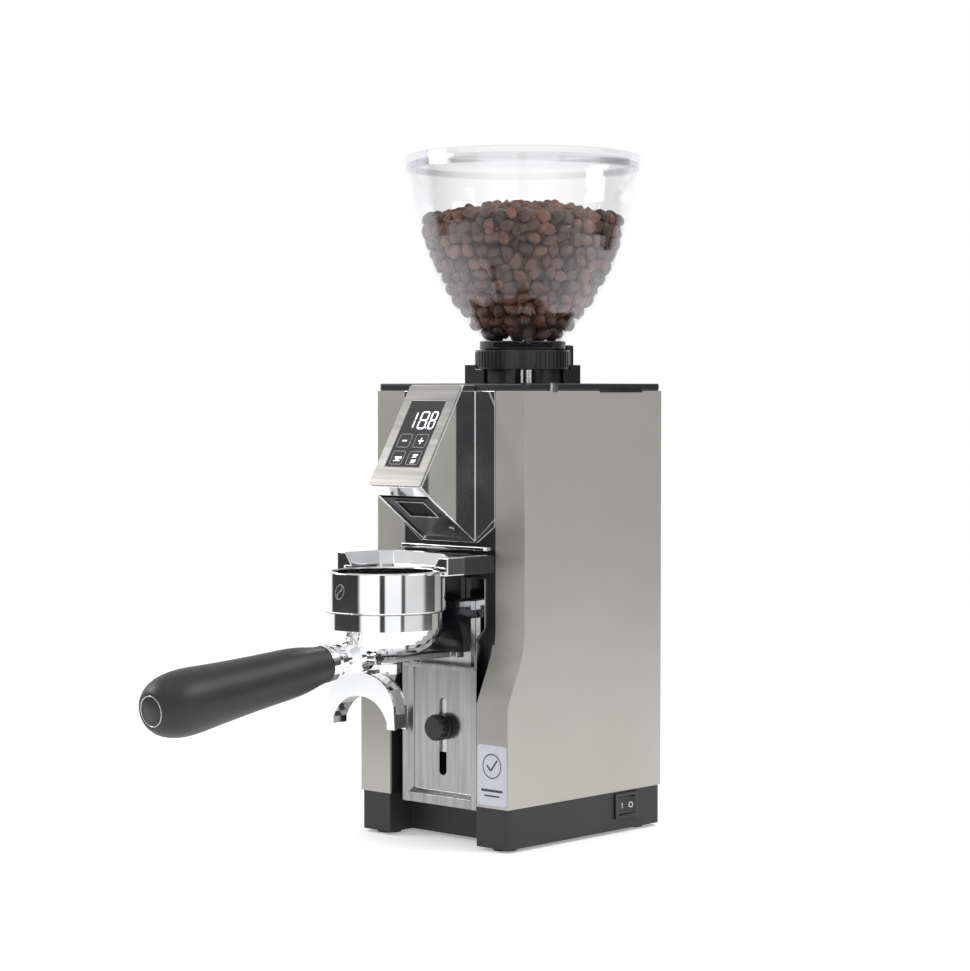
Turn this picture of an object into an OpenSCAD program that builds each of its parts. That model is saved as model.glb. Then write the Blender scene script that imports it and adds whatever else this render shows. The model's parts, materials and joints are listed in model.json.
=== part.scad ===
// Burr coffee grinder with a portafilter cradle. Millimetres, +Z up, front faces -Y.
// The origin is on the floor, midway across the body and midway along its base.

/* [Body] */
// Width of the body across its side panels
body_w = 124; // [104:1:150]
// Depth of the base, front feet to back panel
body_d = 144; // [120:1:175]
// Height of the sheet metal case above the base
case_h = 249.5; // [210:0.5:300]
// How far the legs stand in front of the upper case
leg_step = 15; // [10:1:20]
// Height of the plastic base
base_h = 24; // [20:1:30]
// Height of the top cover
cover_h = 4.5; // [3:0.5:8]
// Thickness of the sheet metal
sheet_t = 1.5; // [1:0.1:2]
// Wall thickness of the plastic base
wall_t = 3; // [2:0.5:4]
// Width of the opening between the legs
recess_w = 73.2; // [70:0.1:80]
// Depth of the recess between the front feet
recess_d = 20; // [17:1:24]
// Radius of the vertical corners
corner_r = 4; // [3:0.5:6]
// Height of a rubber foot
foot_h = 2; // [2:0.5:6]
// Diameter of a rubber foot
foot_dia = 15; // [10:1:20]

/* [Head] */
// Width of the control head
head_w = 44; // [40:1:48]
// Height of the sloping display face, measured vertically
face_rise = 60.6; // [50:0.1:70]
// How far the display face leans forward
face_run = 36.5; // [30:0.1:44]
// Thickness of the brushed display plate
bezel_t = 1.2; // [0.8:0.1:2]
// Width of the touch display
glass_w = 28.8; // [22:0.1:32]
// Length of the touch display
glass_l = 46.2; // [36:0.1:52]

/* [Burrs and motor] */
// Outer diameter of the burrs
burr_dia = 58; // [50:1:62]
// Gap between the burrs at rest
burr_gap = 0.4; // [0.3:0.05:1]
// Diameter of the motor
motor_dia = 72; // [60:1:76]
// Diameter of the shaft
shaft_dia = 12; // [10:0.5:14]
// Distance of the burr axis behind the middle of the base
axis_y = 10; // [5:1:14]
// Outer diameter of the grind setting ring
ring_dia = 60; // [56:1:64]
// Height of the grind setting ring
ring_h = 12; // [10:1:16]

/* [Hopper] */
// Outer diameter of the hopper under its lid
hopper_dia = 145; // [120:1:160]
// Height of the clear hopper
hopper_h = 111; // [90:1:130]
// Radius of the throat that the beans fall through
throat_r = 16.5; // [12:0.5:18]
// Wall thickness of the clear hopper
hopper_t = 2.2; // [1.6:0.2:3]
// Height of the lid over its skirt
lid_h = 9.5; // [7:0.5:14]

/* [Portafilter] */
// Outer diameter of the dosing ring
dose_dia = 74; // [70:1:76]
// Height of the dosing ring
dose_h = 24.5; // [18:0.5:26]
// Distance of the portafilter axis in front of the upper case
reach = 56.5; // [54:0.5:64]
// Height of the portafilter bowl
bowl_h = 25; // [22:1:32]
// Length of the handle grip
grip_l = 130; // [105:1:165]
// Downward slope of the handle in degrees
grip_slope = 7; // [0:0.5:9]
// Distance from the middle to each spout tip
spout_reach = 29; // [22:1:34]

/* [Carriage] */
// Width of the adjustment slot
slot_w = 6; // [5:0.5:8]
// Length of the adjustment slot
slot_l = 47.4; // [36:0.1:60]
// Diameter of the clamp knob
knob_dia = 16; // [12:1:19]
// Half width of the guide collar
collar_half = 46.5; // [45:0.5:50]

/* [Fits] */
// Running clearance between parts that slide on each other
slide_gap = 0.3; // [0.2:0.05:0.5]
// Radial clearance of a shaft in its bearing
shaft_gap = 0.03; // [0.02:0.01:0.08]

/* [Hidden] */
$fn = 64;
cut = 1;
half_w = body_w / 2;
leg_y = -body_d / 2;
front_y = leg_y + leg_step;
back_y = body_d / 2;
recess_y = leg_y + recess_d;
base_top = foot_h + base_h;
case_top = base_top + case_h;
cover_top = case_top + cover_h;
inner_w = body_w - 2 * sheet_t;

// legs and flanges
low_bend_z = base_top + 61.7;
high_bend_z = base_top + 94.6;
flange_x = recess_w / 2 + 1.7;
frame_half = flange_x - 0.2;
wall_y = front_y + 1;
frame_t = 2;

// head: corners of its side outline as [y, z]
face_tilt = atan(face_run / face_rise);
face_len = sqrt(pow(face_run, 2) + pow(face_rise, 2));
plate_y = wall_y - 1.5;
head_top = cover_top - 0.8;
face_top = [plate_y - 11.5, head_top];
face_low = face_top - [face_run, face_rise];
lip_low = face_low + [9, -7.3];
shelf_t = 2.5;
shelf_z = case_top - 96.5;
head_heel = [plate_y, shelf_z + shelf_t + 2.5];
head_t = 1.6;
glass_top = 11.4;

// portafilter heights, from the shelf down
collar_top = shelf_z - 1.5;
collar_low = collar_top - 10.9;
dose_top = collar_top - 9;
bowl_top = dose_top - dose_h;
bowl_low = bowl_top - bowl_h;
pf_y = front_y - reach;
fork_t = 3.7;
fork_top = bowl_low - slide_gap;
fork_low = fork_top - fork_t;

// slotted plate and carriage
plate_half = 31.3;
flat_half = 25;
flat_y = wall_y - 7;
rib_y = flat_y - 3.5;
plate_top = fork_low - 6;
plate_low = base_top - 4;
slot_top = plate_top - 21.3;
slot_low = slot_top - slot_l;
knob_z = slot_top - 17.7;
stud_dia = slot_w - 0.2;
knob_l = 7;
lane_front = flat_y + sheet_t + slide_gap;
lane_back = wall_y - 1 - slide_gap;
nose_r = 29;
nose_mid = fork_top + 5.3;
nose_top = nose_mid + nose_r;
nose_back = rib_y - 2.8;
nose_front = nose_back - 6.2;
panel_top = nose_top + 9;
panel_half = plate_half - sheet_t - 0.1;

// grinding stack, from the base up
motor_r = motor_dia / 2;
motor_low = base_top + 26;
motor_top = motor_low + 122;
mount_t = 6;
chamber_low = motor_top + mount_t;
chamber_r = burr_dia / 2 + 7;
bore_r = burr_dia / 2 + 3;
burr_t = 8;
chamber_top = case_top - 10;
carrier_low = chamber_low + 26;
burr_low = carrier_low + 10;
burr_mid = burr_low + burr_t;
upper_low = burr_mid + burr_gap + burr_t;
upper_top = chamber_top - 4;
ring_low = cover_top + 9;
ring_top = ring_low + ring_h;
sleeve_r = 27;
eye_r = 22.9;
plinth_w = 51.5;
plinth_top = cover_top + 11.7;
shaft_r = shaft_dia / 2;
shaft_low = motor_low - 6;

// hopper
hopper_low = ring_top + 0.5;
hopper_r = hopper_dia / 2;
neck_t = 5;
bowl_base = hopper_low + neck_t;
hopper_top = bowl_base + hopper_h;
lid_r = hopper_r + 1.5;
gate_turn = -47.2;
gate_z = hopper_low + 1.5;
gate_t = 2;
gate_w = 2 * throat_r + 3;

// rocker switch
switch_y = 37.2;
switch_z = foot_h + 15;
switch_w = 21.5;
switch_tall = 16;
rocker_l = 14.2;
rocker_w = 10.4;
rocker_tilt = 8;
rocker_x = half_w - 1.5;

// ---------- helpers ----------

// outline given as [y, z], run along X from x0 to x1
module yz_prism(points, x0, x1) {
    translate([x0, 0, 0])
        rotate([90, 0, 90])
            linear_extrude(x1 - x0)
                polygon(points);
}

// outline given as [x, z], run along Y from y0 to y1
module xz_prism(points, y0, y1) {
    translate([0, y1, 0])
        rotate([90, 0, 0])
            linear_extrude(y1 - y0)
                polygon(points);
}

// box between two corners
module block(low, high) {
    translate(low)
        cube(high - low);
}

module rounded_rect(w, d, r) {
    square([w - 2 * r, d], center = true);
    square([w, d - 2 * r], center = true);
    for (sx = [-1, 1], sy = [-1, 1])
        translate([sx * (w / 2 - r), sy * (d / 2 - r)])
            circle(r);
}

module ring_solid(outer, inner, h) {
    difference() {
        cylinder(r = outer, h = h);
        translate([0, 0, -cut])
            cylinder(r = inner, h = h + 2 * cut);
    }
}

module on_axis(z) {
    translate([0, axis_y, z])
        children();
}

module on_portafilter(z) {
    translate([0, pf_y, z])
        children();
}

// local Y runs up the display face from its top edge, local Z points out of it
module on_face(out) {
    translate([0, face_top[0], face_top[1]])
        rotate([90 - face_tilt, 0, 0])
            translate([0, 0, out])
                children();
}

function curve(a, b, c, steps) =
    [for (i = [0:steps]) let (t = i / steps) (1 - t) * (1 - t) * a + 2 * t * (1 - t) * b + t * t * c];

function mirrored(points) =
    concat(points, [for (i = [len(points) - 1:-1:0]) [-points[i][0], points[i][1]]]);

// ---------- base ----------

module base_outline(inset) {
    difference() {
        rounded_rect(body_w - 2 * inset, body_d - 2 * inset, max(corner_r - inset, 1));
        translate([-recess_w / 2 - inset, leg_y - cut])
            square([recess_w + 2 * inset, recess_d + inset + cut]);
    }
}

module base_tray() {
    color("#2b2b2e")
        difference() {
            translate([0, 0, foot_h])
                linear_extrude(base_h)
                    base_outline(0);
            translate([0, 0, foot_h + wall_t])
                linear_extrude(base_h)
                    base_outline(wall_t);
            block([half_w - wall_t - cut, switch_y - switch_w / 2 + 1, switch_z - switch_tall / 2 + 1],
                [half_w + cut, switch_y + switch_w / 2 - 1, switch_z + switch_tall / 2 - 1]);
            translate([-35, back_y + cut, foot_h + 13])
                rotate([90, 0, 0])
                    cylinder(d = 12, h = wall_t + 2 * cut);
        }
}

module rubber_feet() {
    color("#1a1a1a")
        for (x = [-1, 1], y = [leg_y + 12, back_y - 14])
            translate([x * (half_w - 13), y, 0])
                cylinder(d = foot_dia, h = foot_h);
}

module cable_gland() {
    color("#202020")
        translate([-35, back_y + 3, foot_h + 13])
            rotate([90, 0, 0])
                difference() {
                    union() {
                        cylinder(d = 16, h = 3);
                        cylinder(d = 11.8, h = 3 + wall_t);
                        translate([0, 0, 3 + wall_t])
                            cylinder(d = 15, h = 3);
                    }
                    translate([0, 0, -cut])
                        cylinder(d = 7.4, h = 6 + wall_t + 2 * cut);
                }
}

module switch_bezel() {
    color("#1c1c1e")
        difference() {
            union() {
                block([half_w, switch_y - switch_w / 2, switch_z - switch_tall / 2],
                    [half_w + 1.4, switch_y + switch_w / 2, switch_z + switch_tall / 2]);
                block([half_w - 12, switch_y - switch_w / 2 + 1.2, switch_z - switch_tall / 2 + 1.2],
                    [half_w, switch_y + switch_w / 2 - 1.2, switch_z + switch_tall / 2 - 1.2]);
            }
            block([half_w - 8, switch_y - rocker_l / 2 - 0.9, switch_z - rocker_w / 2 - 0.3],
                [half_w + 2, switch_y + rocker_l / 2 + 0.9, switch_z + rocker_w / 2 + 0.3]);
        }
}

// two faces meeting at a shallow ridge above the pivot pins
module power_rocker() {
    half = rocker_l / 2;
    rise = half * tan(rocker_tilt);
    color("#141415")
        translate([rocker_x, switch_y, switch_z - rocker_w / 2])
            rotate([0, 0, -rocker_tilt]) {
                linear_extrude(rocker_w)
                    polygon([[-3, -half + 0.6], [2.2 + rise, -half], [2.2, 0], [2.2 + rise, half],
                        [-3, half - 0.6], [-5, 0]]);
                translate([0, 0, -0.2])
                    cylinder(r = 1.2, h = rocker_w + 0.4);
            }
}

// ---------- case ----------

// front edge of a side panel, from the base up: foot of the leg, crisp bend, soft bend, top
function leg_line(inset) =
    let (low = [leg_y + inset, low_bend_z + inset * 0.2],
        high = [front_y + inset, high_bend_z + inset * 0.2],
        slope = (low - high) / norm(low - high))
    concat([[leg_y + inset, base_top], low],
        curve(high + 12 * slope, high, high + [0, 12], 6),
        [[front_y + inset, case_top]]);

module side_panel() {
    outline = concat(leg_line(0), [[back_y, case_top], [back_y, base_top]]);
    hollow = concat(leg_line(sheet_t), [[back_y + cut, case_top], [back_y + cut, base_top]]);
    color("#a09e93")
        difference() {
            yz_prism(outline, recess_w / 2, half_w);
            translate([0, 0, -cut])
                yz_prism(hollow, 0, half_w - sheet_t);
            translate([0, 0, cut])
                yz_prism(hollow, 0, half_w - sheet_t);
            block([0, front_y - cut, high_bend_z], [flange_x, front_y + 2 * sheet_t, case_top + cut]);
        }
}

module right_panel() {
    side_panel();
}

module left_panel() {
    mirror([1, 0, 0])
        side_panel();
}

module rear_panel() {
    color("#a09e93")
        difference() {
            block([-inner_w / 2 + 0.1, back_y - sheet_t, base_top], [inner_w / 2 - 0.1, back_y, case_top]);
            for (row = [0:5], side = [-1, 1])
                block([side * 22 - 14, back_y - sheet_t - cut, base_top + 22 + row * 8],
                    [side * 22 + 14, back_y + cut, base_top + 25 + row * 8]);
            for (x = [-1, 1], z = [base_top + 10, case_top - 10])
                translate([x * (half_w - 8), back_y + cut, z])
                    rotate([90, 0, 0])
                        cylinder(d = 3.2, h = sheet_t + 2 * cut);
        }
}

module top_cover() {
    color("#1d1d20")
        difference() {
            translate([0, (front_y + back_y) / 2, case_top])
                linear_extrude(cover_h)
                    rounded_rect(body_w, back_y - front_y, corner_r);
            on_axis(case_top - cut)
                cylinder(r = sleeve_r + 0.4, h = cover_h + 2 * cut);
        }
}

// square housing round the foot of the grind ring; its near corner is cut away
module top_plinth() {
    color("#17171a")
        difference() {
            on_axis(cover_top)
                linear_extrude(plinth_top - cover_top)
                    square(plinth_w, center = true);
            on_axis(ring_low - 0.3)
                cylinder(r = ring_dia / 2 + 0.6, h = ring_h);
            on_axis(cover_top - cut)
                cylinder(r = sleeve_r + 0.4, h = ring_h);
            block([plinth_w / 2 - 9, axis_y - plinth_w / 2 - cut, cover_top - cut],
                [plinth_w / 2 + cut, axis_y - plinth_w / 2 + 9, plinth_top + cut]);
        }
}

module index_studs() {
    color("#c9ccd0")
        for (spot = [[-1.5, 3.2, 1], [-4.6, 1.6, 0.9], [-2.8, 6.2, 1.9]])
            translate([plinth_w / 2 + spot[0], axis_y - plinth_w / 2 + spot[1], cover_top])
                cylinder(r = spot[2], h = ring_low - cover_top - 0.6);
}

module hopper_interlock() {
    color("#17171a")
        block([-10, axis_y + ring_dia / 2 + 1.5, cover_top], [10, axis_y + ring_dia / 2 + 8, hopper_low + 3]);
}

module case_screws() {
    color("#b9bcc0")
        for (x = [-1, 1], z = [base_top + 10, case_top - 10])
            translate([x * (half_w - 8), back_y + 1.6, z])
                rotate([90, 0, 0]) {
                    cylinder(d = 6, h = 1.6);
                    cylinder(d = 3, h = 6);
                }
}

// black liner between the legs, with cheeks that close the inside of each leg
module front_frame() {
    inset = sheet_t + 0.1;
    line = leg_line(inset);
    cheek = concat([for (i = [0:len(line) - 2]) line[i]],
        [[wall_y + frame_t, high_bend_z + 12], [wall_y + frame_t, base_top]]);
    color("#121214") {
        difference() {
            block([-frame_half, wall_y, base_top], [frame_half, wall_y + frame_t, case_top - 0.2]);
            block([-14, wall_y - cut, carrier_low - 4], [14, wall_y + frame_t + cut, burr_mid + 0.5]);
        }
        for (side = [0, 1])
            mirror([side, 0, 0])
                yz_prism(cheek, recess_w / 2, frame_half);
    }
}

module front_plate() {
    color("#d5d8dc")
        difference() {
            xz_prism(mirrored([[frame_half, case_top], [frame_half, shelf_z + 14.5], [head_w / 2 + 2,
                shelf_z + shelf_t + 2]]), plate_y, wall_y);
            block([-14, plate_y - cut, carrier_low - 4], [14, wall_y + cut, burr_mid + 0.5]);
        }
}

module back_panel() {
    color("#c4c7cb")
        block([-panel_half, wall_y - 1, plate_top], [panel_half, wall_y, panel_top]);
}

// channel with raised side ribs, a rolled lip on top and cheeks that rise behind it
module slot_plate() {
    inner = plate_half - sheet_t;
    section = [[0, flat_y], [flat_half, flat_y], [flat_half + 2, rib_y], [plate_half, rib_y],
        [plate_half, wall_y], [inner, wall_y], [inner, rib_y + sheet_t],
        [flat_half + 3, rib_y + sheet_t], [flat_half + 1, flat_y + sheet_t], [0, flat_y + sheet_t]];
    color("#b4b3ae")
        difference() {
            union() {
                translate([0, 0, plate_low])
                    linear_extrude(plate_top - plate_low)
                        polygon(mirrored(section));
                for (side = [0, 1])
                    mirror([side, 0, 0])
                        yz_prism([[rib_y, plate_top - cut], [rib_y, plate_top + 15.1],
                            [wall_y - 2.4, plate_top + 23], [wall_y, plate_top + 23],
                            [wall_y, plate_top - cut]], inner, plate_half);
                block([-inner, rib_y - 1.5, plate_top - 3], [inner, flat_y + sheet_t, plate_top]);
                yz_prism([[rib_y + 0.5, plate_low], [rib_y + 0.5, plate_low + 5.5], [flat_y + 0.5,
                    plate_low + 9], [flat_y + sheet_t, plate_low + 9], [flat_y + sheet_t, plate_low]],
                    -inner, inner);
            }
            block([-slot_w / 2, rib_y - 2, slot_low + slot_w / 2],
                [slot_w / 2, flat_y + 2 * sheet_t, slot_top - slot_w / 2]);
            for (z = [slot_low + slot_w / 2, slot_top - slot_w / 2])
                translate([0, flat_y + 2 * sheet_t, z])
                    rotate([90, 0, 0])
                        cylinder(d = slot_w, h = 10);
        }
}

// ---------- head ----------

module head_shell() {
    step = [bezel_t * cos(face_tilt), -bezel_t * sin(face_tilt)];
    top = [face_top[0] + bezel_t / cos(face_tilt), face_top[1]];
    low = face_low + step;
    outline = [[plate_y, head_top], top, low, lip_low, head_heel];
    inside = [[plate_y + cut, head_top - head_t], top + [0.4, -head_t], low + [2.6, 1.2],
        lip_low + [0.7, -2], head_heel + [0, -3], [plate_y + cut, head_heel[1] - 3]];
    color("#d9dbdf")
        difference() {
            yz_prism(outline, -head_w / 2, head_w / 2);
            yz_prism(inside, -head_w / 2 + head_t, head_w / 2 - head_t);
            on_face(-6)
                translate([-glass_w / 2, -glass_top - glass_l, 0])
                    cube([glass_w, glass_l, 12]);
        }
}

module display_bezel() {
    color("#bfc1c3")
        on_face(-bezel_t)
            difference() {
                translate([0, -face_len / 2, 0])
                    linear_extrude(bezel_t)
                        rounded_rect(head_w - 1, face_len - 0.8, 1.5);
                translate([-glass_w / 2, -glass_top - glass_l, -cut])
                    cube([glass_w, glass_l, bezel_t + 2 * cut]);
            }
}

module display_glass() {
    color("#0b0b0d")
        on_face(-1.4)
            translate([-glass_w / 2 + 0.15, -glass_top - glass_l + 0.15, 0])
                cube([glass_w - 0.3, glass_l - 0.3, 1.2]);
}

module display_board() {
    color("#1f4d2e")
        on_face(-4)
            translate([-glass_w / 2 + 1, -glass_top - glass_l + 1, 0]) {
                cube([glass_w - 2, glass_l - 2, 1.6]);
                translate([4, 6, 1.6])
                    cube([glass_w - 10, glass_l - 14, 1]);
            }
}

// unit vector down the head's underside, from its lip to its heel
floor_dir = (head_heel - lip_low) / norm(head_heel - lip_low);
floor_up = [-floor_dir[1], floor_dir[0]];

function floor_point(along, up) =
    lip_low + along * floor_dir + up * floor_up;

module head_floor() {
    run = norm(head_heel - lip_low);
    color("#101013")
        difference() {
            yz_prism([floor_point(2, 1), floor_point(run - 2.6, 1), floor_point(run - 2.6, 2.6),
                floor_point(2, 2.6)], -head_w / 2 + head_t + 0.1, head_w / 2 - head_t - 0.1);
            yz_prism([floor_point(6, 0), floor_point(21, 0), floor_point(21, 4), floor_point(6, 4)],
                -11, 11);
        }
}

module outlet_frame() {
    color("#8d9094")
        difference() {
            yz_prism([floor_point(4.8, 0.2), floor_point(22.2, 0.2), floor_point(22.2, 1),
                floor_point(4.8, 1)], -12.4, 12.4);
            yz_prism([floor_point(6, -1), floor_point(21, -1), floor_point(21, 4), floor_point(6, 4)],
                -11, 11);
        }
}

module outlet_flap() {
    color("#0d0d0f")
        for (i = [-3:3])
            yz_prism([floor_point(6.2, 1.4), floor_point(20.8, 1.4), floor_point(20.8, 2),
                floor_point(6.2, 2)], i * 3 - 1.3, i * 3 + 1.3);
}

// duct from the burr chamber to the outlet window under the head
module chute() {
    start_y = axis_y - chamber_r + 3;
    floor_z = carrier_low - 3;
    roof_z = burr_mid - 0.5;
    mouth_front = floor_point(4, 2.7);
    mouth_back = floor_point(23, 2.7);
    color("#3a3a3e")
        difference() {
            yz_prism([[start_y, floor_z], [start_y, roof_z], [mouth_front[0] + 9, roof_z], mouth_front,
                mouth_back, [mouth_back[0] + 5, floor_z]], -13, 13);
            yz_prism([[start_y + cut, floor_z + 1.6], [start_y + cut, roof_z - 1.6],
                [mouth_front[0] + 9.6, roof_z - 1.6], floor_point(6, 2.4), floor_point(6, 0),
                floor_point(21, 0), floor_point(21, 2.4), [mouth_back[0] + 4.6, floor_z + 1.6]],
                -11.2, 11.2);
            on_axis(floor_z - cut)
                cylinder(r = chamber_r + 0.05, h = roof_z - floor_z + 2 * cut);
        }
}

module shelf() {
    color("#cfd2d6")
        translate([0, 0, shelf_z])
            difference() {
                translate([0, wall_y, 0])
                    linear_extrude(shelf_t)
                        rounded_rect(72.6, 16, 2.5);
                block([-40, wall_y, -cut], [40, wall_y + 10, shelf_t + cut]);
            }
}

module shelf_bumper() {
    color("#1a1a1e")
        difference() {
            translate([0, wall_y + 12, shelf_z - 7.4])
                cylinder(r1 = 14, r2 = 24, h = 7.4);
            block([-30, wall_y, shelf_z - 9], [30, wall_y + 40, shelf_z + 1]);
        }
}

// ---------- inside ----------

post_spots = [for (sx = [-1, 1], y = [recess_y + 8, back_y - 10]) [sx * (half_w - 9), y]];

module chassis_posts() {
    color("#9a9da1")
        for (spot = post_spots)
            translate([spot[0], spot[1], foot_h + wall_t])
                cylinder(r = 4, h = motor_top - foot_h - wall_t);
}

module motor_plate() {
    color("#8f9296")
        difference() {
            block([-half_w + 4, recess_y + 3, motor_top], [half_w - 4, back_y - 5, motor_top + mount_t]);
            on_axis(motor_top - cut)
                cylinder(r = shaft_r + 2, h = mount_t + 2 * cut);
        }
}

module motor_can() {
    color("#6f7276")
        on_axis(motor_low)
            difference() {
                cylinder(r = motor_r, h = motor_top - motor_low);
                translate([0, 0, 4])
                    cylinder(r = motor_r - 2.5, h = motor_top - motor_low - 8);
                translate([0, 0, -cut])
                    cylinder(r = 11, h = motor_top - motor_low + 2 * cut);
            }
}

module stator() {
    color("#b0723a")
        on_axis(motor_low + 26)
            ring_solid(motor_r - 2.5, 22.5, 60);
}

module motor_bearings() {
    color("#c8cbcf")
        for (z = [motor_low, motor_top - 8, chamber_low + 4])
            on_axis(z)
                ring_solid(11, shaft_r + shaft_gap, 8);
}

module motor_shaft() {
    color("#b7babd")
        on_axis(shaft_low)
            cylinder(r = shaft_r, h = burr_mid - shaft_low - 2);
}

module rotor_core() {
    color("#7d8083")
        on_axis(motor_low + 24)
            ring_solid(21.8, shaft_r, 64);
}

module cooling_fan() {
    color("#2a2a2c")
        on_axis(motor_top - 28) {
            ring_solid(10, shaft_r, 10);
            for (i = [0:8])
                rotate([0, 0, i * 40])
                    translate([9, -0.8, 0])
                        cube([motor_r - 15, 1.6, 10]);
        }
}

module capacitor() {
    color("#3c6ea5")
        translate([-half_w + 26, leg_y + 34, base_top + 8])
            cylinder(r = 9, h = 52);
}

module control_board() {
    color("#1f5a34") {
        block([half_w - 32, leg_y + 23, base_top + 8], [half_w - 30.4, leg_y + 47, base_top + 64]);
        block([half_w - 30.4, leg_y + 27, base_top + 14], [half_w - 19, leg_y + 43, base_top + 30]);
        block([half_w - 30.4, leg_y + 28, base_top + 38], [half_w - 23, leg_y + 40, base_top + 52]);
    }
}

module grinding_chamber() {
    color("#a7aaad")
        difference() {
            on_axis(chamber_low)
                cylinder(r = chamber_r, h = chamber_top - chamber_low);
            on_axis(chamber_low + 16)
                cylinder(r = bore_r, h = chamber_top - chamber_low);
            on_axis(chamber_low + 4)
                cylinder(r = 11, h = 20);
            on_axis(chamber_low - cut)
                cylinder(r = shaft_r + 2, h = 20);
            block([-11.2, axis_y - chamber_r - cut, carrier_low - 1.4],
                [11.2, axis_y, burr_mid - 2.1]);
        }
}

module lower_carrier() {
    color("#a7aaad")
        on_axis(carrier_low) {
            ring_solid(burr_dia / 2, shaft_r, burr_low - carrier_low);
            for (i = [0:3])
                rotate([0, 0, i * 90 + 45])
                    translate([burr_dia / 2 - 1, -1.5, 0])
                        cube([3, 3, 5]);
        }
}

// flat burr with radial cutting grooves on its working face
module burr(groove_z) {
    difference() {
        ring_solid(burr_dia / 2, 14, burr_t);
        for (i = [0:23])
            rotate([0, 0, i * 15])
                translate([17, 0, groove_z])
                    rotate([0, 0, 20])
                        translate([0, -0.6, 0])
                            cube([16, 1.2, 2.4], center = false);
    }
}

module lower_burr() {
    color("#d0d2d5")
        on_axis(burr_low)
            burr(burr_t - 1.6);
}

module upper_burr() {
    color("#d0d2d5")
        on_axis(burr_mid + burr_gap)
            burr(-0.8);
}

module upper_carrier() {
    color("#b59a52")
        on_axis(upper_low)
            ring_solid(bore_r - 0.05, 14, upper_top - upper_low);
}

module grind_ring() {
    teeth = 60;
    color("#151517") {
        on_axis(ring_low)
            difference() {
                cylinder(r = ring_dia / 2 - 0.4, h = ring_h);
                translate([0, 0, -cut])
                    cylinder(r = eye_r, h = ring_h + 2 * cut);
            }
        on_axis(ring_low + 1.2)
            for (i = [0:teeth - 1])
                rotate([0, 0, i * 360 / teeth])
                    translate([ring_dia / 2 - 0.8, -0.8, 0])
                        cube([0.8, 1.6, ring_h - 2.4]);
        on_axis(upper_top + 1.5)
            ring_solid(sleeve_r - 1.2, eye_r, ring_low - upper_top - 1.5);
    }
}

// ---------- hopper ----------

module toward_gate() {
    translate([0, axis_y, 0])
        rotate([0, 0, gate_turn])
            children();
}

module hopper_collar() {
    color("#1b1b1f")
        difference() {
            union() {
                on_axis(hopper_low)
                    cylinder(r = sleeve_r, h = neck_t);
                on_axis(ring_low - 16)
                    cylinder(r = eye_r - 0.4, h = hopper_low - ring_low + 16.5);
            }
            on_axis(ring_low - 17)
                cylinder(r = throat_r, h = ring_h + 40);
            toward_gate()
                block([-throat_r - 3, -gate_w / 2 - slide_gap, gate_z - slide_gap],
                    [sleeve_r + cut, gate_w / 2 + slide_gap, gate_z + gate_t + slide_gap]);
        }
}

// clear cone that opens from the collar to the lid
function bowl_line(inset) =
    let (r = hopper_r - inset, h = hopper_h)
    concat([[25 - inset, 0], [27.5 - inset, 2.2]],
        curve([27.5 - inset, 2.2], [50 - inset, h * 0.2], [r * 0.86, h * 0.5], 6),
        curve([r * 0.86, h * 0.5], [r * 0.975, h * 0.73], [r, h], 6));

module hopper_bowl() {
    outer = bowl_line(0);
    inner = bowl_line(hopper_t);
    color([0.85, 0.88, 0.92, 0.35])
        on_axis(bowl_base)
            rotate_extrude($fn = 96)
                polygon(concat(outer, [for (i = [len(inner) - 1:-1:0]) inner[i]]));
}

module coffee_beans() {
    fill = 0.78 * hopper_h;
    line = [for (p = bowl_line(hopper_t + 0.8)) if (p[1] <= 0.66 * hopper_h) p];
    rim = line[len(line) - 1];
    color("#5a3519")
        on_axis(bowl_base + 0.8)
            rotate_extrude($fn = 96)
                polygon(concat([[0, 0]], line,
                    curve([rim[0] - 1, rim[1] + 2], [rim[0] * 0.7, fill], [0, fill], 6)));
}

module bean_gate() {
    grip_r = 7.5;
    grip_run = 24;
    color([0.86, 0.88, 0.9, 0.5])
        toward_gate() {
            block([-throat_r - 2, -gate_w / 2, gate_z], [sleeve_r, gate_w / 2, gate_z + gate_t]);
            block([sleeve_r - cut, -grip_r - 0.8, gate_z], [sleeve_r + 4, grip_r + 0.8, gate_z + gate_t]);
            translate([sleeve_r + 2.4, 0, gate_z + 0.15])
                rotate([0, -45, 0])
                    difference() {
                        linear_extrude(gate_t + 0.4) {
                            translate([0, -grip_r])
                                square([grip_run, 2 * grip_r]);
                            translate([grip_run, 0])
                                circle(grip_r);
                        }
                        translate([grip_run, 0, -cut])
                            cylinder(r = 4.5, h = 5);
                    }
        }
}

module hopper_lid() {
    color([0.3, 0.3, 0.33, 0.6])
        on_axis(hopper_top + 0.2)
            difference() {
                union() {
                    translate([0, 0, -4])
                        cylinder(r = lid_r, h = lid_h - 1);
                    translate([0, 0, lid_h - 5])
                        cylinder(r1 = lid_r, r2 = lid_r - 2.5, h = 1);
                }
                translate([0, 0, -4 - cut])
                    ring_solid(lid_r - 1.2, hopper_r - hopper_t - 0.4, 4 + cut);
                translate([0, 0, -4 - cut])
                    cylinder(r = hopper_r - hopper_t - 2.6, h = lid_h - 2.5);
            }
}

// ---------- carriage ----------

module carriage_block() {
    color("#6b6e72") {
        block([-22, lane_front, slot_low + 14], [22, lane_back, nose_top - 5]);
        block([-20, nose_back + 0.2, nose_top - 13], [20, lane_front, nose_top - 5]);
        translate([0, lane_front + 0.5, knob_z])
            rotate([90, 0, 0])
                cylinder(d = stud_dia, h = knob_l - 0.3);
    }
}

module arch(r, y0, y1, z_low) {
    intersection() {
        union() {
            translate([0, y1, nose_mid])
                rotate([90, 0, 0])
                    cylinder(r = r, h = y1 - y0);
            block([-r, y0, fork_top], [r, y1, nose_mid]);
        }
        block([-r - 1, y0 - 1, z_low], [r + 1, y1 + 1, nose_top + 1]);
    }
}

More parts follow.
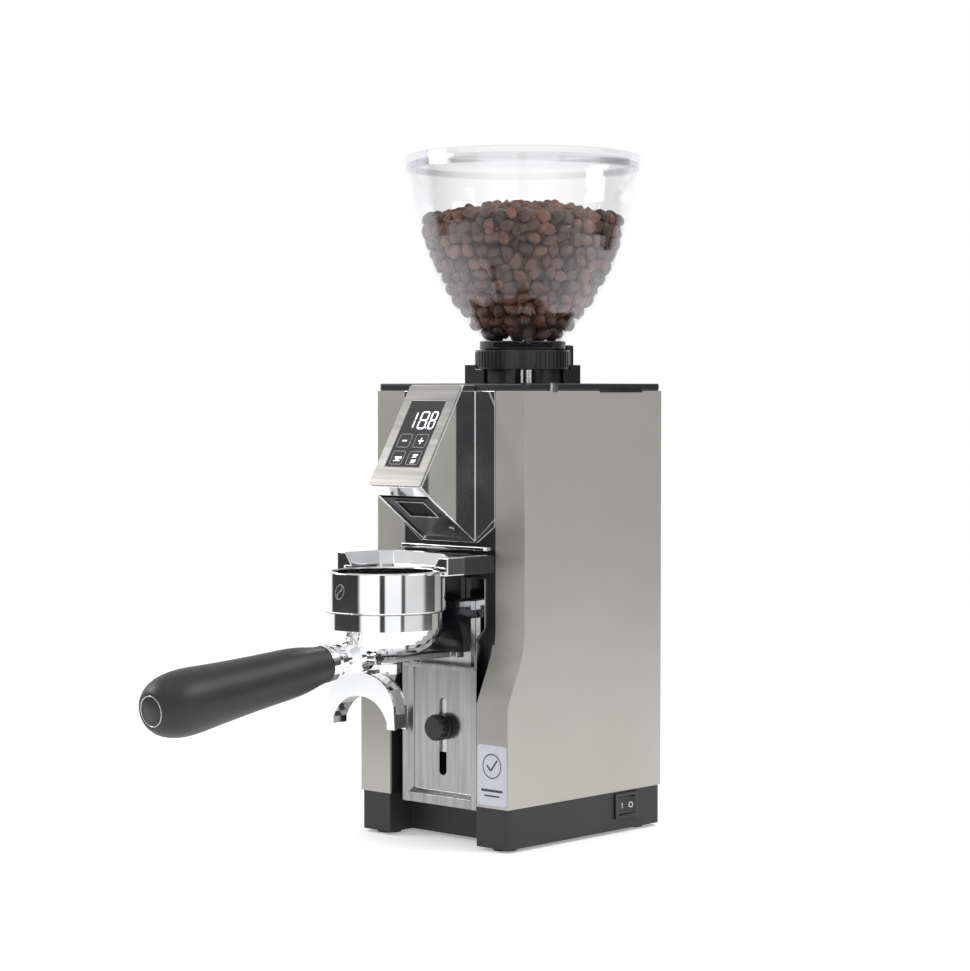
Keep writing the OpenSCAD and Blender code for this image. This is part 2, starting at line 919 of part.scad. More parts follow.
module nose_cover() {
    color("#0f0f12")
        difference() {
            union() {
                arch(nose_r, nose_front, nose_back, fork_top);
                arch(nose_r, nose_back - cut, lane_back - 0.6, nose_top - 15);
            }
            block([-20.1, nose_back - 0.5, nose_top - 13.1], [20.1, wall_y, nose_top - 4.9]);
            block([-22.1, lane_front - 0.1, nose_top - 16], [22.1, wall_y, nose_top - 4.9]);
            block([-7.1, nose_front + 1.9, fork_top + 2.9], [7.1, nose_back + 1, nose_top - 13]);
            block([-14.2, lane_front - 0.2, nose_top - 6], [14.2, wall_y, nose_top + cut]);
        }
}

module load_cell() {
    color("#c2c5c8")
        difference() {
            block([-7, nose_front + 2, fork_top + 3], [7, nose_back, nose_top - 13.1]);
            for (z = [fork_top + 10, fork_top + 16])
                translate([0, nose_back + cut, z])
                    rotate([90, 0, 0])
                        cylinder(d = 5, h = 10);
        }
}

module fork() {
    color("#b9bbbd")
        translate([0, 0, fork_low]) {
            block([-24, nose_front - 0.5, 0], [24, nose_back, fork_t]);
            for (side = [0, 1])
                mirror([side, 0, 0])
                    difference() {
                        block([9, pf_y - 14, 0], [19, nose_front + 1, fork_t]);
                        translate([19, pf_y - 14, -cut])
                            rotate([0, 0, 45])
                                cube([6, 6, 3 * fork_t], center = true);
                    }
        }
}

// funnel-shaped U, open to the front, that centres the dosing ring
collar_front = pf_y + 5.9;
collar_back = collar_front + 39;

module collar_space(half, back, z, h) {
    translate([0, 0, z])
        linear_extrude(h)
            polygon(mirrored([[half, collar_front - 2], [half, back - 7], [half - 7, back]]));
}

module guide_collar() {
    seat = 2.4;
    color("#d3d6da")
        difference() {
            union() {
                block([-collar_half, collar_front, collar_low], [collar_half, collar_front + 15, collar_top]);
                block([-collar_half + 3.3, collar_front, collar_low],
                    [collar_half - 3.3, collar_back - 0.1, collar_top]);
            }
            collar_space(collar_half - 6.5, collar_back - 2.6, collar_low - cut, seat + cut);
            hull() {
                collar_space(collar_half - 13, collar_back - 9, collar_low + seat - 0.1, 0.1);
                collar_space(collar_half - 6.7, collar_back - 3, collar_top + 0.5, 0.1);
            }
        }
}

module collar_carrier() {
    color("#1a1a1d") {
        for (side = [0, 1])
            mirror([side, 0, 0])
                block([collar_half - 3.2, collar_front + 15, collar_low],
                    [collar_half - 0.2, collar_back + 2, collar_top - 0.3]);
        block([-collar_half + 0.2, collar_back, collar_low], [collar_half - 0.2, collar_back + 2, collar_top - 3.5]);
        block([-14, nose_front + 0.5, collar_low - 3.6], [14, lane_back, collar_low]);
        block([-14, lane_front, nose_top - 5], [14, lane_back, collar_low - 3]);
    }
}

module clamp_knob() {
    color("#141416")
        difference() {
            translate([0, flat_y - slide_gap, knob_z])
                rotate([90, 0, 0])
                    difference() {
                        union() {
                            cylinder(d = knob_dia, h = knob_l);
                            translate([0, 0, knob_l])
                                cylinder(d1 = knob_dia, d2 = knob_dia - 3, h = 2);
                        }
                        for (i = [0:11])
                            rotate([0, 0, i * 30])
                                translate([knob_dia / 2 + 0.6, 0, 3])
                                    cylinder(r = 1.4, h = knob_l);
                        translate([0, 0, -cut])
                            cylinder(d = stud_dia + 0.1, h = knob_l - 2 + cut);
                    }
        }
}

// ---------- portafilter ----------

function bowl_side(inset) =
    let (r = dose_dia / 2 - 1.6 - inset)
    concat([[r, bowl_h]],
        curve([r, bowl_h * 0.62], [r * 0.9, bowl_h * 0.12 + inset], [r * 0.56, inset], 8));

ferrule_y = pf_y - dose_dia / 2 - 14.5;
grip_z = bowl_low - 3;
basket_r = dose_dia / 2 - 6.4;
rim_t = 0.7;
basket_h = bowl_h / 2;

module portafilter_bowl() {
    color("#d0d3d7") {
        on_portafilter(bowl_low)
            difference() {
                rotate_extrude()
                    polygon(concat([[0, 0], [0, bowl_h]], bowl_side(0)));
                rotate_extrude()
                    polygon(concat([[0, 3], [0, bowl_h + cut], [dose_dia / 2 - 4.6, bowl_h + cut]],
                        bowl_side(3)));
                translate([0, 0, -cut])
                    cylinder(r = 3, h = 6);
            }
        difference() {
            translate([0, ferrule_y, grip_z])
                rotate([-90 + grip_slope, 0, 0])
                    rotate_extrude()
                        polygon([[0, 0], [11.3, 0], [11.3, 5], [9, 6], [8.4, 7.4], [9.7, 8.8], [9.7, 13],
                            [7.6, 14.6], [7.4, 18], [10.5, 23], [10.5, 34], [0, 34]]);
            on_portafilter(bowl_low - 3)
                cylinder(r = dose_dia / 2 - 10, h = bowl_h);
        }
        on_portafilter(bowl_low - 10)
            difference() {
                cylinder(r = 7.6, h = 10);
                translate([0, 0, -cut])
                    cylinder(r = 3, h = 12);
            }
    }
}

// sheet basket that hangs by its rim from the top of the bowl
module filter_basket() {
    color("#c9ccd0")
        on_portafilter(bowl_top - basket_h)
            difference() {
                union() {
                    cylinder(r = basket_r, h = basket_h);
                    translate([0, 0, basket_h])
                        cylinder(r = dose_dia / 2 - 2, h = rim_t);
                }
                translate([0, 0, 0.8])
                    cylinder(r = basket_r - 0.8, h = bowl_h);
            }
}

// loose ring that stands on the basket's rim
module dosing_ring() {
    color("#c9ccd0")
        on_portafilter(bowl_top + rim_t)
            ring_solid(dose_dia / 2, basket_r + 0.4, dose_h - rim_t);
}

function grip_line() =
    let (l = grip_l)
    concat([[0, 0], [11, 0]],
        curve([11, 1], [11.4, l * 0.05], [12.9, l * 0.1], 4),
        curve([12.9, l * 0.1], [14.6, l * 0.17], [14.9, l * 0.28], 4),
        curve([14.9, l * 0.28], [16.3, l * 0.55], [18.6, l * 0.76], 6),
        curve([18.6, l * 0.76], [20.2, l * 0.95], [10, l], 8),
        [[0, l]]);

module portafilter_handle() {
    color("#1b1b1d")
        translate([0, ferrule_y, grip_z])
            rotate([90 + grip_slope, 0, 0])
                rotate_extrude()
                    polygon(grip_line());
}

// open trough that arches over from the middle to both tips
module double_spout() {
    spout_y = pf_y - 15;
    tip_z = bowl_low - 42;
    top_z = bowl_low - 10;
    depth = 11;
    outer = mirrored(concat(curve([0, top_z], [spout_reach * 0.78, top_z - 0.5],
        [spout_reach - 1, tip_z + 14], 8), [[spout_reach, tip_z], [spout_reach - 4, tip_z]]));
    under = mirrored(concat(curve([0, top_z - 14], [spout_reach * 0.55, top_z - 14],
        [spout_reach - 6.5, tip_z + 4], 8), [[spout_reach - 6.5, tip_z - 2]]));
    color("#c8cbcf")
        difference() {
            union() {
                xz_prism(outer, spout_y - depth / 2, spout_y + depth / 2);
                translate([0, pf_y, top_z - 2])
                    cylinder(r = 10.5, h = 6, $fn = 6);
                block([-8, spout_y, top_z - 6], [8, pf_y, top_z - 0.5]);
            }
            xz_prism(under, spout_y - depth / 2 - cut, spout_y + depth / 2 + cut);
            for (side = [0, 1])
                mirror([side, 0, 0])
                    xz_prism([[8, top_z + 1], [spout_reach + 2, top_z + 1], [spout_reach + 2, tip_z - 2],
                        [spout_reach - 4, tip_z - 2], [spout_reach - 6, tip_z + 8],
                        [spout_reach * 0.62, top_z - 10], [8, top_z - 7]],
                        spout_y - depth / 2 + 1.8, spout_y + depth / 2 - 1.8);
            translate([0, pf_y, top_z - 3])
                cylinder(r = 7.65, h = 12);
        }
}

base_tray();
rubber_feet();
left_panel();
right_panel();
rear_panel();
top_cover();
top_plinth();
hopper_interlock();
index_studs();
front_frame();
front_plate();
head_shell();
display_bezel();
display_glass();
display_board();
head_floor();
outlet_frame();
outlet_flap();
chute();
shelf();
shelf_bumper();
back_panel();
slot_plate();
case_screws();
chassis_posts();
motor_plate();
motor_can();
stator();
motor_bearings();
capacitor();
control_board();
grinding_chamber();
cable_gland();
switch_bezel();
motor_shaft();
rotor_core();
cooling_fan();
lower_carrier();
lower_burr();
upper_carrier();
upper_burr();
grind_ring();
hopper_collar();
hopper_bowl();
coffee_beans();
bean_gate();
hopper_lid();
power_rocker();
carriage_block();
nose_cover();
load_cell();
fork();
collar_carrier();
guide_collar();
clamp_knob();
portafilter_bowl();
filter_basket();
dosing_ring();
portafilter_handle();
double_spout();
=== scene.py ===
import json
import math
import random
import bpy
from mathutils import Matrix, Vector

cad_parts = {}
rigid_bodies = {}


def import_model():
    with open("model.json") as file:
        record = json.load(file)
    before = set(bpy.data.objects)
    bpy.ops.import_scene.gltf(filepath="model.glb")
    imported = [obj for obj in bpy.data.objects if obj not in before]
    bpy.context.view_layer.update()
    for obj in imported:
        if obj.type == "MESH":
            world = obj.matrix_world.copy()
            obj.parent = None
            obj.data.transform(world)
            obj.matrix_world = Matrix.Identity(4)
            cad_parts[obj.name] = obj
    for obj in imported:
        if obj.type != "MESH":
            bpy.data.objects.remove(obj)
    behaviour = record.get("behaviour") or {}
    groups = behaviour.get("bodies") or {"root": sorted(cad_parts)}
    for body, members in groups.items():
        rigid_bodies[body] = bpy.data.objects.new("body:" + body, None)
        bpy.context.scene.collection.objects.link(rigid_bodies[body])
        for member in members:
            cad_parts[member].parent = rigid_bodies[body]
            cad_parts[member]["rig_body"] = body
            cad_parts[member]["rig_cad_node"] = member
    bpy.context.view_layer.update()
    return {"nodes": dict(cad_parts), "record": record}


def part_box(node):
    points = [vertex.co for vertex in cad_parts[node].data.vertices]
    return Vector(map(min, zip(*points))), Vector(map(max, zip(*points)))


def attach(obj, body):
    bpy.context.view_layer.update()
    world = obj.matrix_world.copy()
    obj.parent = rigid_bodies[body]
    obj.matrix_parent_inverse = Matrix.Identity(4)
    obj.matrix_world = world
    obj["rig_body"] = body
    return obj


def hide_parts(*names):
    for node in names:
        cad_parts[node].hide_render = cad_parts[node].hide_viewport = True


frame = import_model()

mm = 0.001
nodes = frame["nodes"]
bodyOf = {}
for bodyName, members in frame["record"]["behaviour"]["bodies"].items():
    for member in members:
        bodyOf[member] = bodyName
slotOf = {part["node"]: part["material_slot"] for part in frame["record"]["subparts"]}


# working helpers

def deselectAll():
    active = bpy.context.view_layer.objects.active
    if active is not None and active.mode != "OBJECT":
        bpy.ops.object.mode_set(mode="OBJECT")
    bpy.ops.object.select_all(action="DESELECT")


def makeActive(piece):
    deselectAll()
    piece.select_set(True)
    bpy.context.view_layer.objects.active = piece


def applyPlace(piece):
    makeActive(piece)
    bpy.ops.object.transform_apply(location=True, rotation=True, scale=True)


def applyModifiers(piece):
    makeActive(piece)
    for modifier in list(piece.modifiers):
        bpy.ops.object.modifier_apply(modifier=modifier.name)


def pickFaces(piece, wanted):
    # selects the faces that wanted(centre, normal) says yes to, and leaves edit mode on
    bpy.ops.object.mode_set(mode="EDIT")
    bpy.ops.mesh.select_all(action="DESELECT")
    bpy.ops.mesh.select_mode(type="FACE")
    bpy.ops.object.mode_set(mode="OBJECT")
    for face in piece.data.polygons:
        face.select = wanted(face.center, face.normal)
    bpy.ops.object.mode_set(mode="EDIT")


def pickEdges(piece, wanted):
    # the same for edges, by their two end points
    bpy.ops.object.mode_set(mode="EDIT")
    bpy.ops.mesh.select_all(action="DESELECT")
    bpy.ops.mesh.select_mode(type="EDGE")
    bpy.ops.object.mode_set(mode="OBJECT")
    points = piece.data.vertices
    for edge in piece.data.edges:
        edge.select = wanted(points[edge.vertices[0]].co, points[edge.vertices[1]].co)
    bpy.ops.object.mode_set(mode="EDIT")


def joinPieces(name, pieces):
    deselectAll()
    for piece in pieces:
        piece.select_set(True)
    bpy.context.view_layer.objects.active = pieces[0]
    if len(pieces) > 1:
        bpy.ops.object.join()
    whole = bpy.context.view_layer.objects.active
    whole.name = name
    whole.data.name = name
    return whole


def twin(piece):
    copied = piece.copy()
    copied.data = piece.data.copy()
    bpy.context.scene.collection.objects.link(copied)
    return copied


def finishPiece(piece, body, material, smooth=35):
    makeActive(piece)
    if smooth:
        bpy.ops.object.shade_smooth_by_angle(angle=math.radians(smooth))
    piece.data.materials.clear()
    piece.data.materials.append(material)
    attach(piece, body)


# materials

def newMaterial(name, colour, metallic=0.0, roughness=0.5, gloss=0.5):
    material = bpy.data.materials.new(name)
    material.use_nodes = True
    tree = material.node_tree
    shader = tree.nodes["Principled BSDF"]
    shader.inputs["Base Color"].default_value = (*colour, 1)
    shader.inputs["Metallic"].default_value = metallic
    shader.inputs["Roughness"].default_value = roughness
    shader.inputs["Specular IOR Level"].default_value = gloss
    return material, tree, shader


def noiseOf(tree, scale, detail=3.0, stretch=(1, 1, 1)):
    place = tree.nodes.new("ShaderNodeTexCoord")
    mapping = tree.nodes.new("ShaderNodeMapping")
    mapping.inputs["Scale"].default_value = stretch
    noise = tree.nodes.new("ShaderNodeTexNoise")
    noise.inputs["Scale"].default_value = scale
    noise.inputs["Detail"].default_value = detail
    tree.links.new(place.outputs["Object"], mapping.inputs["Vector"])
    tree.links.new(mapping.outputs["Vector"], noise.inputs["Vector"])
    return noise.outputs["Fac"]


def colourBetween(tree, shader, factor, low, high, start=0.35, end=0.65):
    ramp = tree.nodes.new("ShaderNodeValToRGB")
    ramp.color_ramp.elements[0].position = start
    ramp.color_ramp.elements[0].color = (*low, 1)
    ramp.color_ramp.elements[1].position = end
    ramp.color_ramp.elements[1].color = (*high, 1)
    tree.links.new(factor, ramp.inputs["Fac"])
    tree.links.new(ramp.outputs["Color"], shader.inputs["Base Color"])
    return ramp


def rangeTo(tree, socket, factor, low, high):
    spread = tree.nodes.new("ShaderNodeMapRange")
    spread.inputs["To Min"].default_value = low
    spread.inputs["To Max"].default_value = high
    tree.links.new(factor, spread.inputs["Value"])
    tree.links.new(spread.outputs["Result"], socket)


def bumpFrom(tree, shader, factor, strength, depth):
    bump = tree.nodes.new("ShaderNodeBump")
    bump.inputs["Strength"].default_value = strength
    bump.inputs["Distance"].default_value = depth
    tree.links.new(factor, bump.inputs["Height"])
    tree.links.new(bump.outputs["Normal"], shader.inputs["Normal"])


def plainFinish(name, colour, metallic, roughness, grainScale=900, grainDepth=0.00003, stretch=(1, 1, 1)):
    # a wide, faint change of shade, a fine grain in the surface, and roughness that follows the grain
    material, tree, shader = newMaterial(name, colour, metallic, roughness)
    wide = noiseOf(tree, 28, 4)
    darker = tuple(part * 0.86 for part in colour)
    lighter = tuple(min(1.0, part * 1.1) for part in colour)
    colourBetween(tree, shader, wide, darker, lighter)
    grain = noiseOf(tree, grainScale, 2, stretch)
    rangeTo(tree, shader.inputs["Roughness"], grain, roughness * 0.82, roughness * 1.18)
    bumpFrom(tree, shader, grain, 0.35, grainDepth)
    return material


def caseFinish():
    # satin lacquer on sheet metal: warm grey with a metallic sparkle
    material, tree, shader = newMaterial("caseFinish", (0.44, 0.43, 0.385), 0.55, 0.36)
    cloud = noiseOf(tree, 9, 5)
    colourBetween(tree, shader, cloud, (0.425, 0.415, 0.37), (0.465, 0.455, 0.41), 0.3, 0.7)
    flake = noiseOf(tree, 2600, 1)
    rangeTo(tree, shader.inputs["Roughness"], flake, 0.3, 0.42)
    bumpFrom(tree, shader, flake, 0.25, 0.00002)
    shader.inputs["Coat Weight"].default_value = 0.25
    shader.inputs["Coat Roughness"].default_value = 0.25
    return material


def chromeFinish():
    material, tree, shader = newMaterial("chromeFinish", (0.86, 0.87, 0.885), 1.0, 0.05)
    smudge = noiseOf(tree, 40, 6)
    colourBetween(tree, shader, smudge, (0.82, 0.83, 0.85), (0.9, 0.905, 0.915))
    rangeTo(tree, shader.inputs["Roughness"], smudge, 0.02, 0.1)
    wave = noiseOf(tree, 55, 1)
    bumpFrom(tree, shader, wave, 0.06, 0.0002)
    return material


def brushedFinish(name, colour, stretch, roughness=0.3):
    # fine straight scratches along the axis whose stretch is small
    material, tree, shader = newMaterial(name, colour, 1.0, roughness)
    streaks = noiseOf(tree, 420, 6, stretch)
    low = tuple(part * 0.82 for part in colour)
    high = tuple(min(1.0, part * 1.12) for part in colour)
    colourBetween(tree, shader, streaks, low, high)
    rangeTo(tree, shader.inputs["Roughness"], streaks, roughness * 0.75, roughness * 1.25)
    bumpFrom(tree, shader, streaks, 0.4, 0.00004)
    return material


def glassFinish():
    material, tree, shader = newMaterial("displayFinish", (0.008, 0.008, 0.01), 0.0, 0.05, 0.6)
    haze = noiseOf(tree, 60, 4)
    colourBetween(tree, shader, haze, (0.006, 0.006, 0.008), (0.012, 0.012, 0.015))
    rangeTo(tree, shader.inputs["Roughness"], haze, 0.03, 0.09)
    shader.inputs["Coat Weight"].default_value = 0.5
    shader.inputs["Coat Roughness"].default_value = 0.04
    return material


def clearFinish(name, colour, facing, grazing, roughness):
    # moulded clear plastic: a mirror that lets light through, thin in front and dense at its edges
    material, tree, shader = newMaterial(name, colour, 1.0, roughness)
    rim = tree.nodes.new("ShaderNodeLayerWeight")
    rim.inputs["Blend"].default_value = 0.22
    rangeTo(tree, shader.inputs["Alpha"], rim.outputs["Facing"], facing, grazing)
    flow = noiseOf(tree, 26, 2)
    rangeTo(tree, shader.inputs["Roughness"], flow, roughness * 0.6, roughness * 1.6)
    darker = tuple(part * 0.93 for part in colour)
    colourBetween(tree, shader, flow, darker, colour)
    bumpFrom(tree, shader, flow, 0.12, 0.0004)
    return material


def beanFinish():
    # roasted skins: every bean has its own shade, with a little oil on it
    material, tree, shader = newMaterial("beanFinish", (0.09, 0.038, 0.018), 0.0, 0.42)
    roast = tree.nodes.new("ShaderNodeAttribute")
    roast.attribute_name = "roast"
    spots = noiseOf(tree, 420, 4)
    blend = tree.nodes.new("ShaderNodeMath")
    blend.operation = "MULTIPLY_ADD"
    blend.inputs[1].default_value = 0.35
    tree.links.new(spots, blend.inputs[0])
    tree.links.new(roast.outputs["Fac"], blend.inputs[2])
    darkest, lightest = (0.022, 0.009, 0.005), (0.15, 0.058, 0.027)
    ramp = colourBetween(tree, shader, blend.outputs["Value"], darkest, lightest, 0.1, 1.15)
    middle = ramp.color_ramp.elements.new(0.55)
    middle.color = (0.07, 0.027, 0.013, 1)
    rangeTo(tree, shader.inputs["Roughness"], spots, 0.3, 0.58)
    bumpFrom(tree, shader, spots, 0.5, 0.0003)
    return material


def boardFinish():
    material, tree, shader = newMaterial("boardFinish", (0.02, 0.13, 0.05), 0.0, 0.35)
    traces = noiseOf(tree, 260, 0, (1, 0.15, 1))
    colourBetween(tree, shader, traces, (0.012, 0.1, 0.035), (0.035, 0.19, 0.08), 0.48, 0.52)
    bumpFrom(tree, shader, traces, 0.2, 0.00005)
    return material


def copperFinish():
    # round wire laid side by side
    material, tree, shader = newMaterial("copperFinish", (0.72, 0.34, 0.16), 1.0, 0.3)
    wires = noiseOf(tree, 300, 2, (1, 1, 6))
    colourBetween(tree, shader, wires, (0.5, 0.2, 0.09), (0.8, 0.4, 0.2))
    rangeTo(tree, shader.inputs["Roughness"], wires, 0.22, 0.42)
    bumpFrom(tree, shader, wires, 0.6, 0.0002)
    return material


finishes = {
    "base_plastic": plainFinish("basePlastic", (0.021, 0.021, 0.024), 0.0, 0.5, 1500, 0.00006),
    "case_metal": caseFinish(),
    "cover_plastic": plainFinish("coverPlastic", (0.009, 0.009, 0.01), 0.0, 0.38, 1800, 0.00003),
    "chrome": chromeFinish(),
    "brushed_plate": brushedFinish("brushedPlate", (0.42, 0.405, 0.385), (0.03, 1, 1), 0.34),
    "display": glassFinish(),
    "board": boardFinish(),
    "black_plastic": plainFinish("blackPlastic", (0.012, 0.012, 0.014), 0.0, 0.4, 1300, 0.00004),
    "gloss_black": plainFinish("glossBlack", (0.008, 0.008, 0.01), 0.0, 0.16, 500, 0.00001),
    "stainless": brushedFinish("stainless", (0.34, 0.34, 0.345), (1, 1, 0.04), 0.2),
    "soft_rubber": plainFinish("softRubber", (0.014, 0.014, 0.014), 0.0, 0.75, 1100, 0.00008),
    "machined": brushedFinish("machined", (0.66, 0.67, 0.68), (1, 1, 8), 0.32),
    "burr_steel": brushedFinish("burrSteel", (0.6, 0.6, 0.61), (5, 5, 1), 0.28),
    "brass": brushedFinish("brass", (0.72, 0.53, 0.22), (1, 1, 10), 0.28),
    "copper": copperFinish(),
    "screw_steel": brushedFinish("screwSteel", (0.68, 0.69, 0.7), (3, 3, 1), 0.22),
    "clear_hopper": clearFinish("clearHopper", (0.86, 0.87, 0.92), 0.012, 0.42, 0.04),
    "lid_smoke": clearFinish("lidClear", (0.6, 0.6, 0.68), 0.02, 0.5, 0.05),
    "beans": beanFinish(),
    "grip": plainFinish("gripRubber", (0.016, 0.016, 0.018), 0.0, 0.46, 1900, 0.00004),
    "ring_black": plainFinish("ringBlack", (0.011, 0.011, 0.013), 0.0, 0.34, 1200, 0.00003),
    "capacitor_sleeve": plainFinish("capacitorSleeve", (0.03, 0.1, 0.3), 0.0, 0.25, 600, 0.00002),
}
for name, node in nodes.items():
    for slotPlace in node.material_slots:
        slotPlace.material = finishes[slotOf[name]]
for slotPlace in nodes["bean_gate"].material_slots:
    slotPlace.material = clearFinish("gateClear", (0.9, 0.9, 0.94), 0.1, 0.95, 0.05)
print("materials made:", len(finishes))


# camera

cameraFacts = {
    "turn": 42.8,  # degrees round from the front
    "drop": 2.094,  # degrees it looks down
    "eye": 0.276,
    "lens": 96.84,
}


def makeCamera(facts):
    turn = math.radians(facts["turn"])
    place = (1.10108, -1.21397, facts["eye"])
    bpy.ops.object.camera_add(location=place, rotation=(math.radians(90 - facts["drop"]), 0, turn))
    camera = bpy.context.object
    camera.data.lens = facts["lens"]
    camera.data.sensor_width = 36
    camera.data.clip_start = 0.02
    bpy.context.scene.camera = camera


makeCamera(cameraFacts)


# softened edges on the housing's and carriage's pieces

edgeRadii = {  # millimetres
    "base_tray": 1.0, "left_panel": 0.55, "right_panel": 0.55, "rear_panel": 0.4, "top_cover": 1.0,
    "top_plinth": 0.5, "hopper_interlock": 1.2, "front_frame": 0.5, "front_plate": 0.3, "head_shell": 0.55,
    "display_bezel": 0.25, "display_glass": 0.25, "head_floor": 0.3, "outlet_frame": 0.15, "shelf": 0.5,
    "shelf_bumper": 0.8, "back_panel": 0.2, "slot_plate": 0.35, "fork": 0.6, "collar_carrier": 0.8,
    "guide_collar": 0.8, "nose_cover": 1.2, "clamp_knob": 0.3, "switch_bezel": 0.4, "power_rocker": 0.3,
    "dosing_ring": 0.8, "hopper_collar": 0.5, "case_screws": 0.1, "cable_gland": 0.4, "index_studs": 0.3,
}


def softenNode(name, radius):
    node = nodes[name]
    piece = twin(node)
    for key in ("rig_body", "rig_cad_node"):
        if key in piece:
            del piece[key]
    piece.parent = None
    piece.name = name + "_formed"
    makeActive(piece)
    bpy.ops.mesh.customdata_custom_splitnormals_clear()
    bpy.ops.object.mode_set(mode="EDIT")
    bpy.ops.mesh.select_all(action="SELECT")
    bpy.ops.mesh.remove_doubles(threshold=0.000002)
    bpy.ops.mesh.dissolve_limited(angle_limit=math.radians(0.4))
    bpy.ops.object.mode_set(mode="OBJECT")
    bpy.ops.object.shade_smooth()
    bevel = piece.modifiers.new("edges", "BEVEL")
    bevel.width = radius * mm
    bevel.segments = 3
    bevel.limit_method = "ANGLE"
    bevel.angle_limit = math.radians(32)
    bevel.miter_outer = "MITER_ARC"
    even = piece.modifiers.new("flats", "WEIGHTED_NORMAL")
    even.mode = "FACE_AREA"
    even.weight = 80
    applyModifiers(piece)
    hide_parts(name)
    finishPiece(piece, bodyOf[name], finishes[slotOf[name]], 0)
    return piece


formed = {name: softenNode(name, radius) for name, radius in edgeRadii.items()}
print("edges softened:", len(formed))


# beans in the hopper

beanFacts = {
    "size": (0.0104, 0.0074, 0.0054),  # length, width, thickness
    "step": 0.0071,  # height from one ring of beans to the next
    "spacing": 0.0088,  # along a ring
    "seed": 11,
}


def wallLine():
    # radius of the filled space at each height, from the plain heap
    centre = hopperCentre()
    points = {}
    for vertex in nodes["coffee_beans"].data.vertices:
        out = math.hypot(vertex.co.x - centre.x, vertex.co.y - centre.y)
        level = round(vertex.co.z, 5)
        points[level] = max(points.get(level, 0), out)
    return sorted(points.items())


def hopperCentre():
    low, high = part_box("coffee_beans")
    return (low + high) / 2


def radiusAt(line, level):
    for (lowLevel, lowRadius), (highLevel, highRadius) in zip(line, line[1:]):
        if lowLevel <= level <= highLevel:
            share = (level - lowLevel) / max(highLevel - lowLevel, 1e-6)
            return lowRadius + share * (highRadius - lowRadius)
    return line[-1][1]


def makeBean(facts):
    length, width, thickness = facts["size"]
    bpy.ops.mesh.primitive_uv_sphere_add(segments=12, ring_count=8, radius=0.5)
    bean = bpy.context.object
    bean.name = "bean"
    # flat underside with a crease along it
    pickFaces(bean, lambda centre, normal: centre.z < -0.1)
    bpy.ops.transform.resize(value=(1, 1, 0.45))
    pickFaces(bean, lambda centre, normal: normal.z < -0.5 and abs(centre.y) < 0.12)
    bpy.ops.transform.translate(value=(0, 0, 0.13))
    bpy.ops.object.mode_set(mode="OBJECT")
    bean.scale = (length, width, thickness * 1.35)
    applyPlace(bean)
    bpy.ops.object.shade_smooth()
    bean.data.attributes.new("roast", "FLOAT", "POINT")
    return bean


def layBean(bean, place, facing, roll, size, roast):
    # facing is the way the bean's flat side's back points
    copied = twin(bean)
    turn = Vector(facing).to_track_quat("Z", "Y")
    copied.rotation_mode = "QUATERNION"
    copied.rotation_quaternion = turn @ rollAbout(roll)
    copied.location = place
    copied.scale = (size, size, size)
    for value in copied.data.attributes["roast"].data:
        value.value = roast
    return copied


def rollAbout(angle):
    return Vector((1, 0, 0)).rotation_difference(Vector((math.cos(angle), math.sin(angle), 0)))


def fillHopper(facts):
    chance = random.Random(facts["seed"])
    line = wallLine()
    centre = hopperCentre()
    low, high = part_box("coffee_beans")
    bean = makeBean(facts)
    copies = []
    rimLevel = max(level for level, out in line if out > line[-1][1] and out > 0.98 * max(r for z, r in line))
    half = facts["size"][2] * 0.62
    for layer, inset in enumerate((half, half + 0.0052)):
        level = low.z + 0.004 + layer * 0.003
        while level < rimLevel + 0.001:
            out = radiusAt(line, level) - inset
            if out < 0.004:
                break
            slope = (radiusAt(line, level + 0.004) - radiusAt(line, level - 0.002)) / 0.006
            count = max(5, int(2 * math.pi * out / facts["spacing"]))
            start = chance.uniform(0, 6.28)
            for step in range(count):
                bearing = start + (step + chance.uniform(-0.22, 0.22)) * 2 * math.pi / count
                wander = chance.uniform(-0.0016, 0.0016)
                outward = Vector((math.cos(bearing), math.sin(bearing), -slope)).normalized()
                tilt = Vector((chance.uniform(-1, 1), chance.uniform(-1, 1), chance.uniform(-1, 1))) * 0.35
                facing = outward + tilt
                if chance.random() < 0.3:
                    facing = -facing
                reach = out - chance.uniform(0, 0.0012)
                place = (centre.x + reach * math.cos(bearing), centre.y + reach * math.sin(bearing),
                         level + wander)
                copies.append(layBean(bean, place, facing, chance.uniform(0, 6.28), chance.uniform(0.9, 1.1),
                                      chance.uniform(0, 1)))
            level += facts["step"]
    rimRadius = radiusAt(line, rimLevel)
    golden = math.pi * (3 - math.sqrt(5))
    for layer in range(2):
        total = 230
        for step in range(total):
            share = math.sqrt((step + 0.5) / total)
            bearing = step * golden + layer
            out = share * (rimRadius - 0.0045)
            rise = heapHeight(line, rimRadius, share) - half - layer * 0.005
            place = (centre.x + out * math.cos(bearing), centre.y + out * math.sin(bearing),
                     rise + chance.uniform(-0.0022, 0.0016))
            facing = Vector((chance.uniform(-1, 1), chance.uniform(-1, 1), chance.uniform(0.2, 1.6)))
            if chance.random() < 0.45:
                facing = -facing
            copies.append(layBean(bean, place, facing, chance.uniform(0, 6.28), chance.uniform(0.92, 1.12),
                                  chance.uniform(0.15, 1.1)))
    bpy.data.objects.remove(bean)
    pile = joinPieces("bean_pile", copies)
    applyPlace(pile)
    finishPiece(pile, "hopper", finishes["beans"], 80)
    core = heapCore()
    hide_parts("coffee_beans")
    print("beans laid:", len(copies), "core", core.name)


def heapHeight(line, rimRadius, share):
    # top of the plain heap at a share of the radius
    top = max(level for level, out in line)
    rim = max(level for level, out in line if out > 0.97 * rimRadius)
    return rim + (top - rim) * (1 - share ** 2.2)


